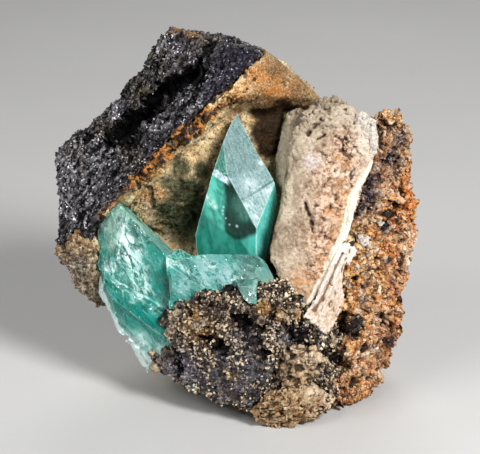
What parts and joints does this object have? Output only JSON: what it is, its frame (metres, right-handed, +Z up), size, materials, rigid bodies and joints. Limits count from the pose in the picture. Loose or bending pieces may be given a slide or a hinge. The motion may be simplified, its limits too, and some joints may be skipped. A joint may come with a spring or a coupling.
{
  "type": "phosphophyllite mineral specimen",
  "caption": "Blue-green phosphophyllite crystals in the hollow of a dark and rust-coloured ore rock, standing on its foot as a display specimen.",
  "frame": {"origin": "on the surface that it stands on, under the middle of the specimen", "axes": "+Z up, +X to the right as seen from the front, +Y away from the viewer, so the open hollow faces -Y"},
  "size_m": [0.082, 0.049, 0.0854],
  "materials": {
    "clear_crystal": "clear blue-green crystal, with one face frosted silvery",
    "feathered_crystal": "blue-green crystal, cloudy with feathery fractures",
    "pale_rock": "matt beige to pinkish rock with small slanting pits",
    "white_rock": "matt white, fibrous",
    "buff_rock": "matt porous buff crust",
    "druse_rock": "dark rock under a coat of tiny tan crystals",
    "ochre_rock": "granular ochre rock, orange along the lip",
    "rusty_rock": "lumpy iron-stained rock, orange, brown and black",
    "dark_rock": "black to violet-grey rock with a fine metallic glitter"
  },
  "bodies": {
    "root": {"upright_crystal": "clear_crystal", "crossed_crystals": "feathered_crystal", "pale_slab": "pale_rock", "white_flake": "white_rock", "buff_crust": "buff_rock", "front_rock": "druse_rock", "ochre_wall": "ochre_rock", "rusty_block": "rusty_rock", "dark_rock": "dark_rock"}
  },
  "joints": []
}
